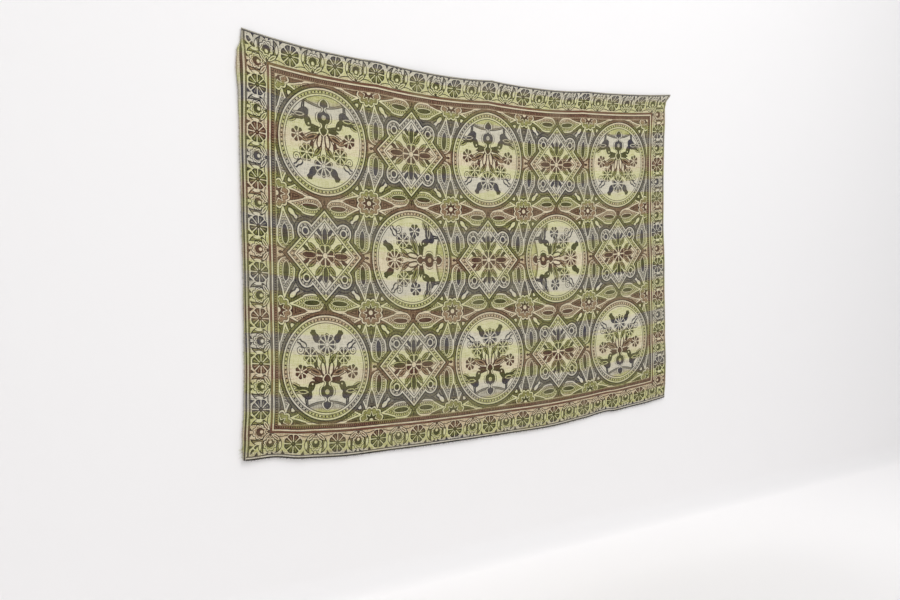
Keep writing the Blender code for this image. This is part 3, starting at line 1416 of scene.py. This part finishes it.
@dataclass(frozen=True)
class WovenFinish:
    """The cloth on one side. The back shows the design faintly and reversed.

    Factor and offset change the depth of the design's shade, wear evens it out, and foot is
    the factor and offset of the way down by which painted shade darkens the lower part, where
    the light falls off towards the foot. Jog is how far the weft bands move up and down, in
    millimetres, with jog_lumps of it a millimetre. Fade is the factor and offset of the worn
    patches, which go towards the faded tone.
    """

    side: str
    factor: float = 1.0
    offset: float = 0.0
    streaks: float = 0.5
    relief: float = 0.4
    relief_depth: float = 0.0008
    wear: float = 0.05
    # Painted shade: foot darkens the cloth towards its lower part, where the light falls off.
    foot: tuple[float, float] = (-0.00034, 0.435)
    jog: float = 50.0
    jog_lumps: tuple[float, float] = (0.006, 0.05)
    fade: tuple[float, float] = (0.5, -0.16)
    faded: tuple[int, int, int] = (150, 143, 114)
    roughness: tuple[float, float] = (0.1, 0.88)
    sheen: float = 0.06
    gloss: float = 0.2

    def material(self, shared: SharedGroups, region: Region) -> bpy.types.Material:
        """The cloth in one region.

        Args:
            shared: The groups that the finishes share.
            region: Part of the cloth.

        Returns:
            The material.
        """
        made, s, shader = new_shader(f"{region.name.lower()} weave, {self.side}", self.gloss)
        point = weave_point(s)
        middle = weave_point(s, (0.001 * LAYOUT.half_width, 0.001 * LAYOUT.half_drop))
        _, down = s.parts(point)
        weave = shared.weave.put(s, Point=point)
        streak, worn = Term(s, weave.outputs["Streak"]), Term(s, weave.outputs["Worn"])
        drawn = shared.designs[region].put(s, Point=middle)
        shade = Term(s, drawn.outputs["Shade"]).plus(self.factor, self.offset)
        shade = streak.plus(self.streaks, s.mix(self.wear, shade, worn))
        # Painted shade: the cloth gets darker towards the foot, standing in for dimmer light there.
        shade = shade + down.plus(*self.foot).lower(0.0)
        jog = s.noise(point, self.jog_lumps).plus(self.jog, down - 0.5 * self.jog)
        stripe = drawn.outputs["Stripe"] if region is Region.BORDER else 0.0
        colour = shared.weft.put(s, Shade=shade, Down=jog, Stripe=stripe).outputs["Color"]
        faded = s.blend(worn.plus(*self.fade), colour, linear(*self.faded))
        s.feed(shader.inputs["Base Color"], faded)
        s.feed(shader.inputs["Roughness"], streak.plus(*self.roughness))
        shader.inputs["Sheen Weight"].default_value = self.sheen
        bump = s.node("ShaderNodeBump")
        bump.inputs["Strength"].default_value = self.relief
        bump.inputs["Distance"].default_value = self.relief_depth
        s.feed(bump.inputs["Height"], weave.outputs["Height"])
        s.feed(shader.inputs["Normal"], bump.outputs[0])
        return made


@dataclass(frozen=True)
class LooseFinish:
    """Loose yarn ends, in the colours of the weft beside them, spread about a mean shade."""

    name: str
    shade: float
    spread: float = 1.4
    lumps: tuple[float, float] = (0.3, 0.3)
    roughness: float = 0.9
    gloss: float = 0.2

    def material(self, shared: SharedGroups) -> bpy.types.Material:
        """The yarn ends.

        Args:
            shared: The groups that the finishes share.

        Returns:
            The material.
        """
        made, s, shader = new_shader(self.name, self.gloss)
        point = weave_point(s)
        lot = s.noise(point, self.lumps, 1.0).plus(self.spread, self.shade - 0.5 * self.spread)
        colour = shared.weft.put(s, Shade=lot, Down=s.parts(point)[1])
        s.feed(shader.inputs["Base Color"], colour.outputs["Color"])
        shader.inputs["Roughness"].default_value = self.roughness
        return made


@dataclass(frozen=True)
class PaintFinish:
    """Pale matt paint, clear to whatever looks from behind and to lamps."""

    colour: tuple[float, float, float, float] = (0.885, 0.868, 0.866, 1.0)
    roughness: float = 0.9
    gloss: float = 0.1

    def material(self) -> bpy.types.Material:
        """The paint of the backdrop.

        Returns:
            The material.
        """
        made, s, shader = new_shader("pale paint", self.gloss)
        shader.inputs["Base Color"].default_value = self.colour
        shader.inputs["Roughness"].default_value = self.roughness
        clear = s.node("ShaderNodeBsdfTransparent")
        behind = Term(s, s.node("ShaderNodeNewGeometry").outputs["Backfacing"])
        shadow = Term(s, s.node("ShaderNodeLightPath").outputs["Is Shadow Ray"])
        mixer = s.node("ShaderNodeMixShader")
        s.feed(mixer.inputs[0], behind.higher(shadow))
        s.feed(mixer.inputs[1], shader.outputs[0])
        s.feed(mixer.inputs[2], clear.outputs[0])
        s.feed(made.node_tree.nodes["Material Output"].inputs[0], mixer.outputs[0])
        return made


FACE = WovenFinish("face")
BACK = WovenFinish("back", factor=-0.5, offset=0.86, streaks=0.8, relief=0.7)
WARP_ENDS = LooseFinish("warp ends", 0.30)
WEFT_ENDS = LooseFinish("weft ends", 0.85)


class Finishes:
    """The materials of the tapestry, in the order of the pieces' slots."""

    def __init__(self) -> None:
        """Make both sides of the cloth, region by region, and the loose ends."""
        shared = SharedGroups()
        self.cloth = [side.material(shared, region) for side in (FACE, BACK) for region in Region]
        self.loose = [ends.material(shared) for ends in (WARP_ENDS, WEFT_ENDS)]


# ------------------------------------------------------------------------ the pieces


def finish_piece(bm: bmesh.types.BMesh, name: str,
                 materials: Iterable[bpy.types.Material]) -> bpy.types.Object:
    """Turn a bmesh into a piece of the tapestry.

    Args:
        bm: The mesh, which is freed.
        name: Name of the piece.
        materials: Its materials, in the order of their slots.

    Returns:
        The piece, riding on the cloth's body.
    """
    mesh = bpy.data.meshes.new(name)
    bm.to_mesh(mesh)
    bm.free()
    mesh.shade_smooth()
    for material in materials:
        mesh.materials.append(material)
    piece = bpy.data.objects.new(name, mesh)
    bpy.context.collection.objects.link(piece)
    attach(piece, BODY)
    LOG.info("%s: %d faces", name, len(mesh.polygons))
    return piece


@dataclass
class Cloth:
    """The tapestry itself, front, back and cut edges in one closed mesh."""

    selvedge_cells: int = 3
    border_cells: int = 12
    cell_columns: int = 38
    cell_rows: int = 41
    front_share: float = 0.70
    bake_margin: float = 0.003

    def spread(self, edge: float, border: int, middle: int, full: float) -> list[float]:
        """Places of the grid lines in one direction.

        Args:
            edge: Width outside the cream line.
            border: Cells across the border.
            middle: Cells across the middle.
            full: Width between the cream lines.

        Returns:
            The places, in metres from the first cream line.
        """
        inset = 0.001 * LAYOUT.border
        outer = [-edge + edge * i / self.selvedge_cells for i in range(self.selvedge_cells)]
        left = (outer if edge else []) + [inset * i / border for i in range(border)]
        inner = [inset + (full - 2.0 * inset) * i / middle for i in range(middle + 1)]
        return left + inner + [full - place for place in reversed(left)]

    def region(self, across: float, down: float) -> Region:
        """Which region a point of the cloth lies in.

        Args:
            across: Metres from the left cream line.
            down: Metres from the top edge.

        Returns:
            The region.
        """
        x = abs(across - 0.5 * SIZE.face_width) * 1000.0
        y = abs(down - 0.5 * SIZE.drop) * 1000.0
        if x > LAYOUT.half_width - LAYOUT.border or y > LAYOUT.half_drop - LAYOUT.border:
            return Region.BORDER
        cell = round(x / LAYOUT.cell[0]) + round(y / LAYOUT.cell[1])
        return Region.OVAL if cell % 2 else Region.LOZENGE

    def build(self, finishes: Finishes, fray: bpy.types.Object) -> bpy.types.Object:
        """Make the cloth.

        Args:
            finishes: The tapestry's materials.
            fray: The loose yarn ends on it; not used.

        Returns:
            The piece.
        """
        columns = self.spread(SIZE.selvedge, self.border_cells,
                              LAYOUT.columns * self.cell_columns, SIZE.face_width)
        rows = self.spread(0.0, self.border_cells, LAYOUT.rows * self.cell_rows, SIZE.drop)
        bm = bmesh.new()
        bmesh.ops.create_grid(bm, x_segments=len(columns) - 1, y_segments=len(rows) - 1, size=0.5)
        weave = bm.verts.layers.float_vector.new("weave")
        for vert in bm.verts:
            across = columns[round((vert.co.x + 0.5) * (len(columns) - 1))]
            down = rows[round((0.5 - vert.co.y) * (len(rows) - 1))]
            vert[weave] = Vector((across, down, 0.0))
            vert.co = HANG.point(across, down / SIZE.drop)
        for face in bm.faces:
            place = sum((vert[weave] for vert in face.verts), Vector()) / len(face.verts)
            face.material_index = self.region(place.x, place.y).value
        self.thicken(bm, weave)
        self.map_faces(bm, weave)
        bm.verts.layers.float_vector.remove(bm.verts.layers.float_vector["weave"])
        piece = finish_piece(bm, "tapestry", finishes.cloth)
        SIZE.full_width
        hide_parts(CLOTH_NODE)
        return piece

    def thicken(self, bm: bmesh.types.BMesh, weave: bmesh.types.BMLayerItem) -> None:
        """Part the front from the back by the cloth's thickness and close the edges.

        Args:
            bm: The mesh, so far the back of the cloth.
            weave: Layer with the place on the cloth.
        """
        bm.normal_update()
        front = list(bm.verts)
        normals = [vert.normal.copy() for vert in front]
        copy = bmesh.ops.duplicate(bm, geom=bm.verts[:] + bm.edges[:] + bm.faces[:])
        for vert, normal in zip(front, normals):
            crease = HANG.creased(vert[weave].x, vert[weave].y)
            vert.co += normal * (SIZE.thickness + crease)
        back_faces = [g for g in copy["geom"] if isinstance(g, bmesh.types.BMFace)]
        bmesh.ops.reverse_faces(bm, faces=back_faces)
        for face in back_faces:
            face.material_index += len(Region)
        rim = bmesh.ops.bridge_loops(bm, edges=[edge for edge in bm.edges if edge.is_boundary])
        for face in rim["faces"]:
            face.material_index = Region.BORDER.value
        bm.normal_update()

    def map_faces(self, bm: bmesh.types.BMesh, weave: bmesh.types.BMLayerItem) -> None:
        """Write the weave map, in metres, and the map that the bake fills.

        Args:
            bm: The closed mesh.
            weave: Layer with the place on the cloth.
        """
        metres = bm.loops.layers.uv.new(WEAVE_MAP)
        bake = bm.loops.layers.uv.new(BAKE_MAP)
        margin = self.bake_margin
        for face in bm.faces:
            rim = abs(face.normal.y) < 0.5
            for loop in face.loops:
                place = loop.vert[weave]
                loop[metres].uv = (place.x, place.y)
                u = (place.x + SIZE.selvedge) / SIZE.full_width
                v = 1.0 - place.y / SIZE.drop
                u = margin + (1.0 - 2.0 * margin) * u
                low, high = 5.0 * margin, self.front_share - margin
                if rim:
                    low, high = margin, 3.0 * margin
                elif face.material_index >= len(Region):
                    low, high = self.front_share + 2.0 * margin, 1.0 - margin
                loop[bake].uv = (u, low + (high - low) * v)


@dataclass(frozen=True)
class Row:
    """A row of loose yarn ends along one edge, lengths in metres."""

    count: int
    shortest: float
    longest: float
    radius: float
    material: int


@dataclass
class Fray:
    """Warp ends along the cut foot, and weft ends along both selvedges.

    The pale ends of the foot are closest together at foot_peak of the width. The other rows
    fill side_span of the drop and corner_spans of the selvedge and the drop. A yarn starts
    root inside the cloth. Sway, bend and lift are shares of its length, taper of its radius.
    """

    seed: int = 11
    foot: Row = Row(760, 0.0020, 0.0060, 0.00034, 0)
    foot_pale: Row = Row(300, 0.0030, 0.0090, 0.00030, 1)
    left: Row = Row(760, 0.0030, 0.0085, 0.00036, 1)
    right: Row = Row(360, 0.0020, 0.0050, 0.00034, 1)
    corner: Row = Row(9, 0.0120, 0.0220, 0.00032, 1)
    foot_peak: float = 0.82
    side_span: tuple[float, float] = (0.02, 0.998)
    corner_spans: tuple[tuple[float, float], ...] = ((0.7, 1.0), (0.965, 1.0))
    foot_way: tuple[float, float, float] = (0.0, 0.0, -1.0)
    side_lean: float = -0.12
    corner_way: tuple[float, float, float] = (-0.7, -0.1, -0.7)
    root: float = 0.0012
    bend: float = 0.8
    lift: tuple[float, float] = (-0.4, 0.1)
    sway: float = 0.35
    taper: float = 0.4
    sides: int = 3
    joints: int = 4

    def build(self, finishes: Finishes) -> bpy.types.Object:
        """Make all the loose ends as one piece.

        Args:
            finishes: The tapestry's materials.

        Returns:
            The piece.
        """
        chance = random.Random(self.seed)
        bm = bmesh.new()
        weave = bm.verts.layers.float_vector.new("weave")
        width = SIZE.face_width
        for row in (self.foot, self.foot_pale):
            for _ in range(row.count):
                share = (chance.random() if row is self.foot else
                         chance.triangular(0.0, 1.0, self.foot_peak))
                self.yarn(bm, weave, row, chance, (width * share, 1.0), Vector(self.foot_way))
        for row, sign in ((self.left, -1.0), (self.right, 1.0)):
            edge = -SIZE.selvedge if sign < 0.0 else width + SIZE.selvedge
            for _ in range(row.count):
                place = (edge, chance.uniform(*self.side_span))
                way = Vector((sign, self.side_lean, 0.0))
                self.yarn(bm, weave, row, chance, place, way)
        for _ in range(self.corner.count):
            out, down = (chance.uniform(*span) for span in self.corner_spans)
            place = (-SIZE.selvedge * out, down)
            self.yarn(bm, weave, self.corner, chance, place, Vector(self.corner_way))
        metres = bm.loops.layers.uv.new(WEAVE_MAP)
        for face in bm.faces:
            for loop in face.loops:
                loop[metres].uv = loop.vert[weave].xy
        bm.verts.layers.float_vector.remove(weave)
        return finish_piece(bm, "loose_yarn_ends", finishes.loose)

    def yarn(self, bm: bmesh.types.BMesh, weave: bmesh.types.BMLayerItem, row: Row,
             chance: random.Random, place: tuple[float, float], way: Vector) -> None:
        """Add one bent yarn end.

        Args:
            bm: Mesh that gets it.
            weave: Layer with the place on the cloth.
            row: The row that it belongs to.
            chance: Source of its unevenness.
            place: Metres across the cloth and share of the drop where it starts.
            way: Direction in which it leaves the cloth.
        """
        start = HANG.point(*place) - Vector((0.0, 0.5 * SIZE.thickness, 0.0)) - self.root * way
        length = chance.uniform(row.shortest, row.longest)
        side = Vector((0.0, 1.0, 0.0)).cross(way).normalized()
        bend = side * chance.uniform(-self.bend, self.bend)
        bend += Vector((0.0, chance.uniform(*self.lift), 0.0))
        sway = side * chance.uniform(-self.sway, self.sway)
        made = bmesh.ops.create_grid(bm, x_segments=self.sides, y_segments=self.joints, size=0.5)
        for vert in made["verts"]:
            turn, along = TURN * vert.co.x, vert.co.y + 0.5
            reach = length * along
            middle = start + (way + sway) * reach + bend * (reach * along)
            ring = side * math.cos(turn) + Vector((0.0, math.sin(turn), 0.0))
            vert.co = middle + ring * row.radius * (1.0 - self.taper * along)
            vert[weave] = Vector((place[0], place[1] * SIZE.drop, 0.0))
        for face in {face for vert in made["verts"] for face in vert.link_faces}:
            face.material_index = row.material


# ------------------------------------------------------------------- studio and camera


@dataclass(frozen=True)
class Lamp:
    """A large soft lamp: its place and aim, the side of its face, watts and colour."""

    name: str
    at: tuple[float, float, float]
    to: tuple[float, float, float]
    size: float
    power: float
    colour: tuple[float, float, float]

    def hang(self) -> None:
        """Put the lamp in the scene."""
        data = bpy.data.lights.new(self.name, "AREA")
        data.size, data.energy, data.color = self.size, self.power, self.colour
        made = bpy.data.objects.new(self.name, data)
        made.location = self.at
        way = Vector(self.to) - Vector(self.at)
        made.rotation_euler = way.to_track_quat("-Z", "Y").to_euler()
        bpy.context.collection.objects.link(made)


@dataclass(frozen=True)
class Studio:
    """Plain pale wall and floor, soft lights and the camera."""

    floor: float = -2.04
    wall: float = 0.0012
    cove: float = 0.10
    cove_steps: int = 10
    half_width: float = 7.0
    depth: float = 9.0
    head: float = 3.2
    camera_at: tuple[float, float, float] = (-2.4203, -3.0596, -0.7003)
    heading: float = math.radians(35.941)
    pitch: float = math.radians(-3.224)
    roll: float = math.radians(-0.344)
    lens: float = 36.884
    sensor: float = 36.0
    sight: float = 60.0
    sky_colour: tuple[float, float, float, float] = (0.97, 0.985, 1.0, 1.0)
    sky_strength: float = 0.60
    lamps: tuple[Lamp, ...] = (
        Lamp("key", (1.1, -3.8, 3.0), (0.1, 0.0, -0.5), 3.2, 122.0, (0.99, 0.995, 1.0)),
        Lamp("fill", (-3.2, -4.2, 0.8), (0.0, 0.0, -0.6), 3.0, 37.0, (1.0, 0.99, 0.97)),
        Lamp("rear", (0.0, 4.0, 1.5), (0.0, 0.0, -0.8), 3.0, 85.0, (1.0, 1.0, 1.0)),
    )

    def camera(self) -> None:
        """Camera where the viewer stands, to the left of the cloth."""
        data = bpy.data.cameras.new("camera")
        data.lens = self.lens
        data.sensor_width = self.sensor
        data.clip_end = self.sight
        made = bpy.data.objects.new("camera", data)
        made.location = self.camera_at
        made.rotation_euler = (0.5 * math.pi + self.pitch, self.roll, -self.heading)
        bpy.context.collection.objects.link(made)
        bpy.context.scene.camera = made

    def profile(self, row: int) -> tuple[float, float]:
        """Y and Z of one line of the sweep.

        Args:
            row: 0 at the head of the wall, counted to the far end of the floor.

        Returns:
            Y and Z.
        """
        if row == 0:
            return self.wall, self.head
        if row > self.cove_steps + 1:
            return self.wall - self.cove - self.depth, self.floor
        turn = 0.5 * math.pi * (row - 1) / self.cove_steps
        return (self.wall - self.cove * (1.0 - math.cos(turn)),
                self.floor + self.cove * (1.0 - math.sin(turn)))

    def backdrop(self) -> None:
        """Wall and floor in one sweep, clear from behind."""
        bm = bmesh.new()
        strips = self.cove_steps + 2
        bmesh.ops.create_grid(bm, x_segments=1, y_segments=strips, size=0.5)
        for vert in bm.verts:
            place = self.profile(round((0.5 - vert.co.y) * strips))
            vert.co = Vector((2.0 * self.half_width * vert.co.x, *place))
        mesh = bpy.data.meshes.new("backdrop")
        bm.to_mesh(mesh)
        bm.free()
        mesh.shade_smooth()
        mesh.materials.append(PaintFinish().material())
        made = bpy.data.objects.new("backdrop", mesh)
        bpy.context.collection.objects.link(made)

    def sky(self) -> None:
        """Pale even light from all round."""
        world = bpy.data.worlds.new("sky")
        world.use_nodes = True
        sky = world.node_tree.nodes["Background"]
        sky.inputs["Color"].default_value = self.sky_colour
        sky.inputs["Strength"].default_value = self.sky_strength
        bpy.context.scene.world = world

    def build(self) -> None:
        """Set up the camera, backdrop and lights, shown with plain tones."""
        bpy.context.scene.view_settings.view_transform = "Standard"
        self.camera()
        self.backdrop()
        for lamp in self.lamps:
            lamp.hang()
        self.sky()


def main() -> None:
    """Build the studio and the tapestry, piece by piece."""
    logging.basicConfig(level=logging.INFO, format="%(name)s: %(message)s")
    Studio().build()
    finishes = Finishes()
    Cloth().build(finishes, Fray().build(finishes))


if __name__ == "__main__":
    main()
